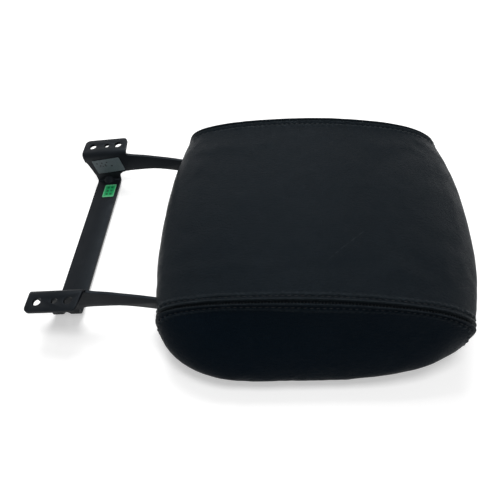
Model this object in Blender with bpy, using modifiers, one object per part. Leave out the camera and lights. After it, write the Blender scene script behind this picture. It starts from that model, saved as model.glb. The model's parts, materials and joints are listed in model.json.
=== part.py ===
"""Fold-down rear-seat armrest: a stitched leather pad on a pressed steel hinge frame.

Metres, +Z up. The pad lies on its underside with its tip at +X, and the hinge axis runs along Y.
The origin is at the middle of the armrest, on the surface that it lies on.
"""
import math

import bmesh
import bpy
from mathutils import Matrix, Vector

for old in list(bpy.data.objects):
    bpy.data.objects.remove(old, do_unlink=True)

MM = 0.001
GAP = 0.3 * MM
FOAM_GAP = 0.6 * MM

# Pad: outline seen from the side, and how it narrows towards its two seams
PAD_LENGTH = 305.0 * MM
PAD_HEIGHT = 85.0 * MM
REAR_NOSE_HEIGHT = 41.0 * MM
TIP_NOSE_HEIGHT = 55.0 * MM
UNDERSIDE_START = 60.0 * MM
UNDERSIDE_END = 196.0 * MM
SEAM_HALF_WIDTH = 119.5 * MM
BELLY_TOP = 8.0 * MM
BELLY_FOOT_REAR = 47.5 * MM
BELLY_FOOT_TIP = 31.0 * MM
BELLY_START = 80.0 * MM
BELLY_DROP = 60.0 * MM
SIDE_ROUNDING = 0.5
REAR_NARROWING = 0.08
TIP_NARROWING = 0.11
CROWN_NARROWING = 0.01
SEAM_DEPTH = 1.5 * MM
COVER = 1.8 * MM
SAMPLES_PER_SPAN = 2
SIDE_RINGS = 5

# Hinge: the pivot's place in the pad, and the swing from stowed to lowered
PIVOT_INSET = 68.8 * MM
PIVOT_HEIGHT = 38.0 * MM
SWING = math.radians(95.0)

# Hinge frame: one pressing, measured from the pivot along the stowed frame
SHEET = 3.0 * MM
BEND = 2.0 * MM
WEB_INNER = 93.5 * MM
FRAME_REACH = 177.5 * MM
FLANGE_RISE = 32.2 * MM
FRAME_HEIGHT = 43.5 * MM
FLANGE_LENGTH = 53.0 * MM
FLANGE_DEPTH = 25.0 * MM
FLANGE_SLANT = 2.3 * MM
FLANGE_CORNER = 5.0 * MM
BAR_OFFSET = 5.4 * MM
BAR_WIDTH = 28.0 * MM
DART_RADIUS = 8.0 * MM
DART_WIDTH = 14.0 * MM
DART_LENGTH = 30.0 * MM
WAIST_RISE = 6.3 * MM
WEB_OVERLAP = 2.0 * MM
HOLE_FROM_WEB = 14.0 * MM
END_HOLE = 8.5 * MM
MIDDLE_HOLE = 6.2 * MM
HOLE_ALONG = (10.4 * MM, 27.5 * MM, 41.0 * MM)
NECK = 14.5 * MM
NECK_START = 45.0 * MM
EYE_RADIUS = 13.0 * MM

# Pivot hardware
SHOULDER = 10.0 * MM
THREAD = 8.0 * MM
BUSH_WALL = 1.7 * MM
BUSH_FLANGE = 1.2 * MM
BUSH_FLANGE_DIAMETER = 22.0 * MM
HEAD_DIAMETER = 16.0 * MM
HEAD_HEIGHT = 5.0 * MM
SOCKET = 6.0 * MM
SOCKET_DEPTH = 3.0 * MM
WASHER = 1.6 * MM
WASHER_DIAMETER = 21.0 * MM
NUT_FLATS = 13.0 * MM
NUT_HEIGHT = 6.0 * MM

# Hinge plates, stop rods and torque tube inside the pad
PLATE_BOSS = 14.0 * MM
PLATE_LENGTH = 66.0 * MM
PLATE_RISE = 6.0 * MM
PLATE_FOOT = 18.0 * MM
STOP_RADIUS = 20.0 * MM
STOP_ROD = 8.0 * MM
STOP_CLEARANCE = 0.5 * MM
STOP_OVERHANG = 5.0 * MM
TUBE_DIAMETER = 16.0 * MM
TUBE_WALL = 2.0 * MM
TUBE_AHEAD = 48.0 * MM
TUBE_HEIGHT = 30.0 * MM
SCREW_THREAD = 5.0 * MM
SCREW_HEAD = 9.0 * MM
SCREW_HEAD_HEIGHT = 2.5 * MM
SCREW_AHEAD = (22.0 * MM, 56.0 * MM)
SCREW_SPREAD = 80.0 * MM

# Core, board and base cover
BOARD = 6.0 * MM
BOARD_HALF_WIDTH = 113.0 * MM
BOARD_INSET = 8.0 * MM
BASE_MARGIN = 6.0 * MM
CORE_WALL = 2.5 * MM
CORE_TOP = 58.0 * MM
CORE_HALF_WIDTH = 108.0 * MM
CORE_REAR_SPACE = 31.0 * MM
CORE_CORNER = 8.0 * MM
BOSS_RADIUS = 5.5 * MM
BOSS_PLACES = ((78.0 * MM, 98.0 * MM), (108.0 * MM, 40.0 * MM))
CORE_SCREW_LENGTH = 22.0 * MM
COUNTERBORE = 3.0 * MM

# Arm slots through the pad's rear end
SLOT_CLEARANCE = 2.5 * MM
SLOT_HEAD = 43.5 * MM
SLOT_AHEAD = 19.0 * MM

# Labels on the frame
LABEL_THICKNESS = 0.3 * MM
TYPE_LABEL = (34.2 * MM, 19.6 * MM)
TYPE_LABEL_CENTRE = (26.3 * MM, -18.1 * MM)
TYPE_LABEL_TURN = math.radians(4.5)
CHECK_LABEL = (14.0 * MM, 20.0 * MM)
CHECK_LABEL_CENTRE = (23.7 * MM, 74.0 * MM)
LABEL_CORNER = 1.2 * MM

# Places worked out from the sizes above
WEB_OUTER = WEB_INNER + SHEET
BAR_LEFT = BAR_OFFSET - FRAME_REACH
BAR_RIGHT = BAR_LEFT + BAR_WIDTH
FRAME_FLOOR = FLANGE_RISE - FRAME_HEIGHT
TILT = (math.asin(PIVOT_HEIGHT / math.hypot(BAR_LEFT, FRAME_FLOOR))
        - math.atan2(-FRAME_FLOOR, -BAR_LEFT))
REACH_BACK = FRAME_REACH * math.cos(TILT) + FLANGE_RISE * math.sin(TILT)
REACH_AHEAD = PAD_LENGTH - PIVOT_INSET
PIVOT = Vector(((REACH_BACK - REACH_AHEAD) / 2, 0.0, PIVOT_HEIGHT))
PAD_REAR = PIVOT.x - PIVOT_INSET
PLATE_OUTER = WEB_INNER - WASHER - 2 * GAP
PLATE_INNER = PLATE_OUTER - SHEET
BOARD_TOP = COVER + GAP + BOARD
PLATE_SEAT = BOARD_TOP + GAP
NUT_FACE = PLATE_INNER - GAP
BOARD_REAR = PAD_REAR + UNDERSIDE_START + BOARD_INSET
BOARD_FRONT = PAD_REAR + UNDERSIDE_END - BOARD_INSET
CORE_REAR = PIVOT.x - CORE_REAR_SPACE

collection = bpy.data.collections.new("car_armrest")
cutters = bpy.data.collections.new("cutters")
bpy.context.scene.collection.children.link(collection)
bpy.context.scene.collection.children.link(cutters)


def material(name, colour, roughness, metallic=0.0):
    """A Principled BSDF with the piece's own colour and finish."""
    mat = bpy.data.materials.new(name)
    mat.use_nodes = True
    shader = mat.node_tree.nodes["Principled BSDF"]
    shader.inputs["Base Color"].default_value = (*colour, 1.0)
    shader.inputs["Roughness"].default_value = roughness
    shader.inputs["Metallic"].default_value = metallic
    return mat


BLACK_COAT = material("black_coated_steel", (0.012, 0.012, 0.013), 0.45)
ZINC = material("zinc_plated_steel", (0.62, 0.62, 0.60), 0.35, 1.0)
BARE_STEEL = material("drawn_steel", (0.42, 0.42, 0.43), 0.4, 1.0)
NYLON = material("natural_nylon", (0.75, 0.73, 0.66), 0.5)
PLASTIC = material("black_polypropylene", (0.02, 0.02, 0.021), 0.6)
FOAM = material("moulded_foam", (0.55, 0.50, 0.36), 0.95)
LEATHER = material("black_leather", (0.017, 0.020, 0.022), 0.42)
LINING = material("black_lining", (0.015, 0.015, 0.016), 0.8)
GREY_PAPER = material("grey_label_film", (0.42, 0.44, 0.46), 0.55)
GREEN_PAPER = material("green_label_film", (0.22, 0.50, 0.24), 0.5)


def add(name, mesh, mat=None, cutter=False):
    """Links a mesh as a named piece, or as a hidden cutter."""
    obj = bpy.data.objects.new(name, mesh)
    (cutters if cutter else collection).objects.link(obj)
    if mat:
        mesh.materials.append(mat)
    if cutter:
        obj.hide_render = True
        obj.display_type = "WIRE"
    return obj


def from_bmesh(name, bm, mat=None, cutter=False):
    bmesh.ops.recalc_face_normals(bm, faces=bm.faces)
    mesh = bpy.data.meshes.new(name)
    bm.to_mesh(mesh)
    bm.free()
    return add(name, mesh, mat, cutter)


def combine(piece, other, operation="DIFFERENCE"):
    """Boolean with the exact solver."""
    modifier = piece.modifiers.new(other.name, "BOOLEAN")
    modifier.operation = operation
    modifier.solver = "EXACT"
    modifier.object = other
    return piece


def box(name, low, high, mat=None, cutter=False):
    bm = bmesh.new()
    size = Vector(high) - Vector(low)
    middle = (Vector(high) + Vector(low)) / 2
    bmesh.ops.create_cube(bm, size=1.0, matrix=Matrix.Translation(middle) @ Matrix.Diagonal((*size, 1.0)))
    return from_bmesh(name, bm, mat, cutter)


def rods(name, places, mat=None, cutter=False, segments=24):
    """Straight round bars, each given as start, end and diameter."""
    bm = bmesh.new()
    for start, end, diameter in places:
        start, end = Vector(start), Vector(end)
        turn = (end - start).to_track_quat("Z", "Y").to_matrix().to_4x4()
        place = Matrix.Translation((start + end) / 2) @ turn
        bmesh.ops.create_cone(bm, cap_ends=True, segments=segments, radius1=diameter / 2,
                              radius2=diameter / 2, depth=(end - start).length, matrix=place)
    return from_bmesh(name, bm, mat, cutter)


def plate(name, outlines, low, high, plane, mat=None, cutter=False):
    """A flat outline, with any holes as further outlines, given thickness from low to high.

    plane is XY, XZ or YZ, and the thickness runs along the third axis.
    """
    curve = bpy.data.curves.new(name, "CURVE")
    curve.dimensions = "2D"
    curve.fill_mode = "BOTH"
    curve.extrude = (high - low) / 2
    for outline in outlines:
        spline = curve.splines.new("POLY")
        spline.points.add(len(outline) - 1)
        spline.use_cyclic_u = True
        for point, (a, b) in zip(spline.points, outline):
            point.co = (a, b, 0.0, 1.0)
    guide = bpy.data.objects.new(name, curve)
    cutters.objects.link(guide)
    mesh = bpy.data.meshes.new_from_object(guide.evaluated_get(bpy.context.evaluated_depsgraph_get()))
    bpy.data.objects.remove(guide)
    bm = bmesh.new()
    bm.from_mesh(mesh)
    bmesh.ops.remove_doubles(bm, verts=bm.verts, dist=1e-6)
    middle = (low + high) / 2
    places = {"XY": lambda p: (p.x, p.y, p.z + middle),
              "XZ": lambda p: (p.x, middle - p.z, p.y),
              "YZ": lambda p: (p.z + middle, p.x, p.y)}
    for vert in bm.verts:
        vert.co = places[plane](vert.co)
    bm.to_mesh(mesh)
    bm.free()
    return add(name, mesh, mat, cutter)


def circle(centre, radius, segments=24):
    return [(centre[0] + radius * math.cos(2 * math.pi * i / segments),
             centre[1] + radius * math.sin(2 * math.pi * i / segments)) for i in range(segments)]


def arc(centre, radius, start, end, steps):
    return [(centre[0] + radius * math.cos(start + (end - start) * i / steps),
             centre[1] + radius * math.sin(start + (end - start) * i / steps)) for i in range(steps + 1)]


def rounded_rectangle(centre, size, radius, turn=0.0, steps=3):
    """Corners counter-clockwise, turned about the centre."""
    half = (size[0] / 2 - radius, size[1] / 2 - radius)
    points = []
    for quarter, (sx, sy) in enumerate(((1, 1), (-1, 1), (-1, -1), (1, -1))):
        start = quarter * math.pi / 2
        points += arc((sx * half[0], sy * half[1]), radius, start, start + math.pi / 2, steps)
    c, s = math.cos(turn), math.sin(turn)
    return [(centre[0] + c * a - s * b, centre[1] + s * a + c * b) for a, b in points]


def smooth(points, per_span, closed=False):
    """Points of a Catmull-Rom curve through the given ones."""
    count = len(points)
    spans = count if closed else count - 1
    pick = (lambda i: points[i % count]) if closed else (lambda i: points[min(max(i, 0), count - 1)])
    result = []
    for i in range(spans):
        p0, p1, p2, p3 = pick(i - 1), pick(i), pick(i + 1), pick(i + 2)
        for k in range(per_span):
            t = k / per_span
            result.append(tuple(0.5 * (2 * b + (c - a) * t + (2 * a - 5 * b + 4 * c - d) * t ** 2
                                       + (3 * b - a - 3 * c + d) * t ** 3)
                                for a, b, c, d in zip(p0, p1, p2, p3)))
    return result if closed else result + [tuple(points[-1])]


def folded_section(path, thickness, bend, steps=4):
    """Outline of a folded sheet, from the path of its left face, with an inside bend radius."""
    left, right = [], []
    for i, point in enumerate(path):
        point = Vector(point)
        before = (point - Vector(path[i - 1])).normalized() if i else None
        after = (Vector(path[i + 1]) - point).normalized() if i + 1 < len(path) else None
        if before is None or after is None:
            along = after or before
            left.append(tuple(point))
            right.append(tuple(point + Vector((along.y, -along.x)) * thickness))
            continue
        turn = math.atan2(before.x * after.y - before.y * after.x, before.dot(after))
        side = 1 if turn > 0 else -1
        left_radius, right_radius = (bend, bend + thickness) if side > 0 else (bend + thickness, bend)
        tangent = point - before * left_radius * math.tan(abs(turn) / 2)
        centre = tangent + Vector((-before.y, before.x)) * left_radius * side
        start = math.atan2(tangent.y - centre.y, tangent.x - centre.x)
        left += arc(centre, left_radius, start, start + turn, steps)
        right += arc(centre, right_radius, start, start + turn, steps)
    return left + right[::-1]


def turned(name, profile, mat, side, closed_ring=False, segments=24):
    """A turned piece on the pivot, its profile given as radius and distance out from the mid plane."""
    bm = bmesh.new()
    verts = [bm.verts.new((radius, 0.0, out)) for radius, out in profile]
    for a, b in zip(verts, verts[1:]):
        bm.edges.new((a, b))
    if closed_ring:
        bm.edges.new((verts[-1], verts[0]))
    mesh = bpy.data.meshes.new(name)
    bm.to_mesh(mesh)
    bm.free()
    piece = add(name, mesh, mat)
    screw = piece.modifiers.new("turn", "SCREW")
    screw.steps = segments
    screw.render_steps = segments
    screw.use_merge_vertices = True
    screw.merge_threshold = 1e-5
    piece.location = PIVOT
    piece.rotation_euler.x = -side * math.pi / 2
    return piece


def hull_of_circles(circles, segments=24):
    """The band that wraps tightly round a set of circles."""
    points = sorted({point for x, z, radius in circles for point in circle((x, z), radius, segments)})

    def chain(ordered):
        kept = []
        for point in ordered:
            while len(kept) > 1 and ((kept[-1][0] - kept[-2][0]) * (point[1] - kept[-2][1])
                                     <= (kept[-1][1] - kept[-2][1]) * (point[0] - kept[-2][0])):
                kept.pop()
            kept.append(point)
        return kept[:-1]

    return chain(points) + chain(points[::-1])


def polar(angle, radius):
    return radius * math.cos(angle), radius * math.sin(angle)


def both_sides():
    """The near side is towards -Y and the far side towards +Y."""
    return (("near", -1), ("far", 1))


# Hinge frame, drawn stowed about the pivot and then tilted until its crossbar touches the surface
axis = bpy.data.objects.new("hinge_axis", None)
collection.objects.link(axis)
axis.location = PIVOT
axis.rotation_euler.y = -TILT


def hang_on_axis(piece):
    piece.parent = axis
    return piece


def web_outline():
    """Side view of one web with its arm and eye."""
    fold = FLANGE_RISE - SHEET - BEND
    foot = FRAME_FLOOR + SHEET + BEND
    flange_end = FLANGE_LENGTH - FRAME_REACH
    top = [(flange_end, fold), (-117.5 * MM, 25.3 * MM), (-105.5 * MM, 23.2 * MM), (-94.5 * MM, 20.4 * MM),
           (-84.5 * MM, 17.9 * MM), (-73.5 * MM, 15.0 * MM), (-62.0 * MM, 11.4 * MM), (-NECK_START, NECK / 2)]
    waist = foot + WAIST_RISE
    bottom = [(-NECK_START, -NECK / 2), (-60.0 * MM, -5.2 * MM), (-73.5 * MM, -1.6 * MM),
              (-85.5 * MM, 1.6 * MM), (-99.5 * MM, waist + 4.0 * MM), (-117.5 * MM, waist + 4.1 * MM),
              (-133.0 * MM, waist + 3.6 * MM), (BAR_RIGHT + 3.0 * MM, waist), (BAR_RIGHT, foot)]
    neck_angle = math.asin(NECK / 2 / EYE_RADIUS)
    eye = arc((0.0, 0.0), EYE_RADIUS, math.pi - neck_angle, neck_angle - math.pi, 14)
    left = [(BAR_LEFT, foot), (BAR_LEFT, waist), (BAR_LEFT - 3.4 * MM, fold - 9.0 * MM),
            (-FRAME_REACH, fold - 6.0 * MM)]
    return smooth(top, 2) + eye + smooth(bottom, 2) + smooth(left, 2) + [(-FRAME_REACH, fold)]


def flange_plan(side):
    """Plan of one bolting flange: rounded outer corners, a slanted end and its three holes."""
    inner, outer = side * (WEB_INNER - SHEET), side * (WEB_INNER + FLANGE_DEPTH)
    left, right = -FRAME_REACH, FLANGE_LENGTH - FRAME_REACH
    reach = side * FLANGE_CORNER
    edge = [(left, inner), (left, outer - reach)]
    edge += [(left + FLANGE_CORNER - a, outer - reach + side * b)
             for a, b in arc((0, 0), FLANGE_CORNER, 0.0, math.pi / 2, 4)]
    end = right - FLANGE_SLANT
    edge += [(end - FLANGE_CORNER + a, outer - reach + side * b)
             for a, b in arc((0, 0), FLANGE_CORNER, math.pi / 2, 0.0, 4)]
    edge += [(right, inner)]
    row = side * (WEB_INNER + HOLE_FROM_WEB)
    sizes = (END_HOLE, MIDDLE_HOLE, END_HOLE)
    return [edge] + [circle((left + along, row), size / 2) for along, size in zip(HOLE_ALONG, sizes)]


def dart_line(side, diameter):
    """A bar at 45 degrees across the fold of crossbar and web, as start, end and diameter.

    A round bar of DART_RADIUS on this line stands out of the inside of the fold over DART_WIDTH.
    """
    behind = math.sqrt(DART_RADIUS ** 2 - (DART_WIDTH / 2) ** 2) / math.sqrt(2)
    middle = Vector(((BAR_LEFT + BAR_RIGHT) / 2, side * (WEB_INNER + behind), FRAME_FLOOR + SHEET - behind))
    reach = Vector((0.0, side, 1.0)).normalized() * DART_LENGTH / 2
    return middle - reach, middle + reach, diameter


def make_hinge_frame():
    """Crossbar, two webs with arms, and two flanges, all one folded pressing."""
    foot = FRAME_FLOOR + SHEET + BEND + WEB_OVERLAP
    bar_path = [(-WEB_INNER, foot), (-WEB_INNER, FRAME_FLOOR + SHEET),
                (WEB_INNER, FRAME_FLOOR + SHEET), (WEB_INNER, foot)]
    frame = plate("hinge_frame", [folded_section(bar_path, SHEET, BEND)], BAR_LEFT, BAR_RIGHT, "YZ",
                  BLACK_COAT)
    for name, side in both_sides():
        dart = rods(f"dart_{name}", [dart_line(side, 2 * DART_RADIUS)], cutter=True, segments=32)
        faces = sorted((side * (WEB_INNER - DART_WIDTH), side * (WEB_INNER + SHEET / 2)))
        corner = box(f"dart_corner_{name}", (BAR_LEFT, faces[0], FRAME_FLOOR + SHEET / 2),
                     (BAR_RIGHT, faces[1], FRAME_FLOOR + DART_WIDTH), cutter=True)
        combine(frame, combine(dart, corner, "INTERSECT"), "UNION")
        low, high = sorted((side * WEB_INNER, side * WEB_OUTER))
        web = plate(f"web_{name}", [web_outline(), circle((0, 0), SHOULDER / 2 + BUSH_WALL + 2 * GAP)],
                    low, high, "XZ", cutter=True)
        combine(frame, web, "UNION")
        dimple = rods(f"dart_dimple_{name}", [dart_line(side, 2 * (DART_RADIUS - SHEET))], cutter=True,
                      segments=32)
        combine(frame, dimple)
        fold = FLANGE_RISE - SHEET - BEND - WEB_OVERLAP
        path = [(side * WEB_INNER, fold), (side * WEB_INNER, FLANGE_RISE),
                (side * (WEB_INNER + FLANGE_DEPTH), FLANGE_RISE)]
        section = folded_section(path if side > 0 else path[::-1], SHEET, BEND)
        flange = plate(f"flange_{name}", [section], -FRAME_REACH, FLANGE_LENGTH - FRAME_REACH, "YZ",
                       cutter=True)
        plan = plate(f"flange_plan_{name}", flange_plan(side), fold - SHEET, FLANGE_RISE + SHEET, "XY",
                     cutter=True)
        combine(frame, combine(flange, plan, "INTERSECT"), "UNION")
        for guide in (dart, corner, web, dimple, flange, plan):
            hang_on_axis(guide)
    return hang_on_axis(frame)


def make_labels():
    """Two stuck-on film labels, left blank but for what the finish adds."""
    along, height = TYPE_LABEL_CENTRE
    outline = rounded_rectangle((along - FRAME_REACH, height + FLANGE_RISE), TYPE_LABEL, LABEL_CORNER,
                                TYPE_LABEL_TURN)
    face = WEB_INNER - GAP
    hang_on_axis(plate("web_label", [outline], face - LABEL_THICKNESS, face, "XZ", GREY_PAPER))
    along, across = CHECK_LABEL_CENTRE
    outline = rounded_rectangle((along - FRAME_REACH, across), CHECK_LABEL, LABEL_CORNER)
    seat = FRAME_FLOOR + SHEET + GAP
    hang_on_axis(plate("crossbar_label", [outline], seat, seat + LABEL_THICKNESS, "XY", GREEN_PAPER))


def make_pivot(name, side):
    """Shoulder bolt from outside, flanged bush in the arm's eye, thrust washer, hinge plate and nut."""
    bush_inner = SHOULDER / 2 + GAP
    bush_outer = bush_inner + BUSH_WALL
    flange_out = WEB_OUTER + GAP + BUSH_FLANGE
    head_seat = flange_out + GAP
    head_top = head_seat + HEAD_HEIGHT
    shoulder_end = PLATE_OUTER + GAP
    bolt_end = NUT_FACE - NUT_HEIGHT - 1.5 * MM
    chamfer = 1.0 * MM
    bolt = turned(f"pivot_bolt_{name}",
                  [(0.0, head_top), (HEAD_DIAMETER / 2 - chamfer, head_top),
                   (HEAD_DIAMETER / 2, head_top - chamfer), (HEAD_DIAMETER / 2, head_seat),
                   (SHOULDER / 2, head_seat), (SHOULDER / 2, shoulder_end), (THREAD / 2, shoulder_end),
                   (THREAD / 2, bolt_end), (0.0, bolt_end)], ZINC, side)
    socket = rods(f"socket_{name}", [((PIVOT.x, side * (head_top - SOCKET_DEPTH), PIVOT.z),
                                      (PIVOT.x, side * (head_top + chamfer), PIVOT.z),
                                      SOCKET * 2 / math.sqrt(3))], cutter=True, segments=6)
    combine(bolt, socket)
    bush = turned(f"pivot_bush_{name}",
                  [(BUSH_FLANGE_DIAMETER / 2, flange_out), (BUSH_FLANGE_DIAMETER / 2, WEB_OUTER + GAP),
                   (bush_outer, WEB_OUTER + GAP), (bush_outer, WEB_INNER), (bush_inner, WEB_INNER),
                   (bush_inner, flange_out)], NYLON, side, closed_ring=True)
    bush.location = (0.0, 0.0, 0.0)
    hang_on_axis(bush)
    washer_inner = PLATE_OUTER + GAP
    turned(f"thrust_washer_{name}",
           [(WASHER_DIAMETER / 2, washer_inner + WASHER), (WASHER_DIAMETER / 2, washer_inner),
            (SHOULDER / 2 + GAP, washer_inner), (SHOULDER / 2 + GAP, washer_inner + WASHER)],
           ZINC, side, closed_ring=True)
    nut = rods(f"pivot_nut_{name}", [((PIVOT.x, side * (NUT_FACE - NUT_HEIGHT), PIVOT.z),
                                      (PIVOT.x, side * NUT_FACE, PIVOT.z), NUT_FLATS * 2 / math.sqrt(3))],
               ZINC, segments=6)
    combine(nut, rods(f"nut_bore_{name}", [((PIVOT.x, side * (NUT_FACE - 2 * NUT_HEIGHT), PIVOT.z),
                                            (PIVOT.x, side * (NUT_FACE + GAP), PIVOT.z), THREAD + 2 * GAP)],
                      cutter=True))


REST_ANGLE = math.pi + TILT
STOP_ANGLE = (math.asin(NECK / 2 / STOP_RADIUS) + math.asin(STOP_ROD / 2 / STOP_RADIUS)
              + STOP_CLEARANCE / STOP_RADIUS)
UPPER_STOP = polar(REST_ANGLE - STOP_ANGLE, STOP_RADIUS)
LOWER_STOP = polar(REST_ANGLE + SWING + STOP_ANGLE, STOP_RADIUS)


def plate_screw_places():
    return [(PIVOT.x + ahead, side * SCREW_SPREAD) for ahead in SCREW_AHEAD for _, side in both_sides()]


def make_screw(name, x, y, seat, head_end, tip):
    """A pan-head screw, upright or head down."""
    screw = rods(name, [((x, y, seat), (x, y, head_end), SCREW_HEAD)], ZINC, segments=12)
    shank = rods(f"{name}_shank", [((x, y, (seat + head_end) / 2), (x, y, tip), SCREW_THREAD)], cutter=True,
                 segments=12)
    return combine(screw, shank, "UNION")


def make_hinge_plate(name, side, screw_holes):
    """Steel plate that carries the pivot and the stop rods, folded in at its foot."""
    foot = PLATE_SEAT - PIVOT.z
    low_corner = (foot + SHEET + BEND + 6.0 * MM)
    bosses = [(0.0, 0.0, PLATE_BOSS), (*UPPER_STOP, STOP_ROD / 2 + 4.0 * MM),
              (6.0 * MM, low_corner, 6.0 * MM), (PLATE_LENGTH - 6.0 * MM, low_corner, 6.0 * MM),
              (PLATE_LENGTH - 6.0 * MM, PLATE_RISE - 6.0 * MM, 6.0 * MM)]
    holes = [circle((0.0, 0.0), THREAD / 2 + GAP),
             circle(UPPER_STOP, STOP_ROD / 2 + GAP), circle(LOWER_STOP, STOP_ROD / 2 + GAP)]
    low, high = sorted((side * PLATE_INNER, side * PLATE_OUTER))
    piece = plate(f"hinge_plate_{name}", [hull_of_circles(bosses)] + holes, low, high, "XZ", BLACK_COAT)
    path = [(side * PLATE_OUTER, low_corner), (side * PLATE_OUTER, foot),
            (side * (PLATE_OUTER - PLATE_FOOT), foot)]
    section = folded_section(path if side > 0 else path[::-1], SHEET, BEND)
    fold = plate(f"plate_foot_{name}", [section], 6.0 * MM, PLATE_LENGTH - 6.0 * MM, "YZ", cutter=True)
    combine(piece, fold, "UNION")
    for item in (piece, fold):
        item.location = PIVOT
    return combine(piece, screw_holes)


def make_carrier():
    """Stop rods, torque tube, moulded core shell, base board and the screws that join them."""
    stop_end = WEB_OUTER + STOP_OVERHANG
    for name, place in (("upper_stop_rod", UPPER_STOP), ("lower_stop_rod", LOWER_STOP)):
        x, z = PIVOT.x + place[0], PIVOT.z + place[1]
        rods(name, [((x, -stop_end, z), (x, stop_end, z), STOP_ROD)], BARE_STEEL, segments=16)
    tube_x, tube_end = PIVOT.x + TUBE_AHEAD, PLATE_INNER - GAP
    tube = rods("torque_tube", [((tube_x, -tube_end, TUBE_HEIGHT), (tube_x, tube_end, TUBE_HEIGHT),
                                 TUBE_DIAMETER)], BLACK_COAT)
    tube_bore = ((tube_x, -WEB_INNER, TUBE_HEIGHT), (tube_x, WEB_INNER, TUBE_HEIGHT),
                 TUBE_DIAMETER - 2 * TUBE_WALL)
    combine(tube, rods("torque_tube_bore", [tube_bore], cutter=True))

    clear_hole = SCREW_THREAD + 2 * GAP
    screw_holes = rods("plate_screw_holes", [((x, y, 0.0), (x, y, BOARD_TOP + 2 * SHEET), clear_hole)
                                             for x, y in plate_screw_places()], cutter=True, segments=12)
    for name, side in both_sides():
        make_hinge_plate(name, side, screw_holes)
        make_pivot(name, side)
    head_seat = PLATE_SEAT + SHEET + GAP
    for number, (x, y) in enumerate(plate_screw_places(), 1):
        make_screw(f"hinge_plate_screw_{number}", x, y, head_seat, head_seat + SCREW_HEAD_HEIGHT,
                   COVER + 2 * GAP)

    core_front = BOARD_FRONT
    bm = bmesh.new()
    size = Vector((core_front - CORE_REAR, 2 * CORE_HALF_WIDTH, CORE_TOP - PLATE_SEAT))
    middle = Vector(((core_front + CORE_REAR) / 2, 0.0, (CORE_TOP + PLATE_SEAT) / 2))
    bmesh.ops.create_cube(bm, size=1.0, matrix=Matrix.Translation(middle) @ Matrix.Diagonal((*size, 1.0)))
    upright = [e for e in bm.edges if abs(e.verts[0].co.z - e.verts[1].co.z) > CORE_WALL]
    bmesh.ops.bevel(bm, geom=upright, offset=CORE_CORNER, segments=3, profile=0.5, affect="EDGES")
    bmesh.ops.recalc_face_normals(bm, faces=bm.faces)
    bmesh.ops.delete(bm, geom=[f for f in bm.faces if f.normal.z < -0.5], context="FACES")
    mesh = bpy.data.meshes.new("core_shell")
    bm.to_mesh(mesh)
    bm.free()
    core = add("core_shell", mesh, PLASTIC)
    wall = core.modifiers.new("wall", "SOLIDIFY")
    wall.thickness = CORE_WALL
    wall.offset = -1.0
    bosses = [(PIVOT.x + ahead, side * across) for ahead, across in BOSS_PLACES for _, side in both_sides()]
    combine(core, rods("core_bosses", [((x, y, PLATE_SEAT), (x, y, CORE_TOP - CORE_WALL / 2), 2 * BOSS_RADIUS)
                                       for x, y in bosses], cutter=True, segments=16), "UNION")
    screw_seat = COVER + GAP + COUNTERBORE
    tips = screw_seat + CORE_SCREW_LENGTH
    combine(core, rods("boss_bores", [((x, y, 0.0), (x, y, tips + MM), clear_hole) for x, y in bosses],
                       cutter=True, segments=12))

    board_outline = rounded_rectangle(((BOARD_REAR + BOARD_FRONT) / 2, 0.0),
                                      (BOARD_FRONT - BOARD_REAR, 2 * BOARD_HALF_WIDTH), CORE_CORNER)
    board = plate("base_board", [board_outline], COVER + GAP, BOARD_TOP, "XY", PLASTIC)
    combine(board, screw_holes)
    combine(board, rods("core_screw_holes", [((x, y, 0.0), (x, y, BOARD_TOP + GAP), clear_hole)
                                             for x, y in bosses], cutter=True, segments=12))
    combine(board, rods("counterbores", [((x, y, 0.0), (x, y, screw_seat + GAP), SCREW_HEAD + 2 * GAP)
                                         for x, y in bosses], cutter=True, segments=12))
    for number, (x, y) in enumerate(bosses, 1):
        make_screw(f"core_screw_{number}", x, y, screw_seat, screw_seat - SCREW_HEAD_HEIGHT, tips)
    return core, board


# Pad: one form, used at several depths for the covers and the foam
def side_outline():
    """The pad's side view, from the rear nose over the crown to the tip and back along the underside."""
    crown, tip = PAD_HEIGHT, PAD_LENGTH
    return [(0.0, REAR_NOSE_HEIGHT), (9.0 * MM, crown - 26.0 * MM), (43.0 * MM, crown - 13.5 * MM),
            (95.0 * MM, crown - 5.0 * MM), (0.53 * tip, crown), (tip - 82.0 * MM, crown - 1.5 * MM),
            (tip - 40.0 * MM, crown - 7.0 * MM), (tip - 13.0 * MM, crown - 16.5 * MM), (tip, TIP_NOSE_HEIGHT),
            (tip - 9.0 * MM, 31.0 * MM), (tip - 41.0 * MM, 14.0 * MM), (UNDERSIDE_END + 19.0 * MM, 3.0 * MM),
            (UNDERSIDE_END, 0.0), ((UNDERSIDE_START + UNDERSIDE_END) / 2, 0.0), (UNDERSIDE_START, 0.0),
            (24.0 * MM, 8.0 * MM), (6.0 * MM, 23.0 * MM)]


def inset_outline(depth):
    """The side view drawn in by a depth, flat where it rests."""
    points = [(x, max(z, 0.0)) for x, z in smooth(side_outline(), SAMPLES_PER_SPAN, closed=True)]
    result = []
    for i, (x, z) in enumerate(points):
        along = Vector(points[(i + 1) % len(points)]) - Vector(points[i - 1])
        along.normalize()
        result.append((x + along.y * depth, z - along.x * depth))
    return result


def narrowed(outline, share):
    """An outline drawn in towards a seam: the ends come in and the crown drops a little."""
    middle = PAD_LENGTH / 2
    return [(middle + (x - middle) * (1 - share * (REAR_NARROWING if x < middle else TIP_NARROWING)),
             z * (1 - share * CROWN_NARROWING)) for x, z in outline]


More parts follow.
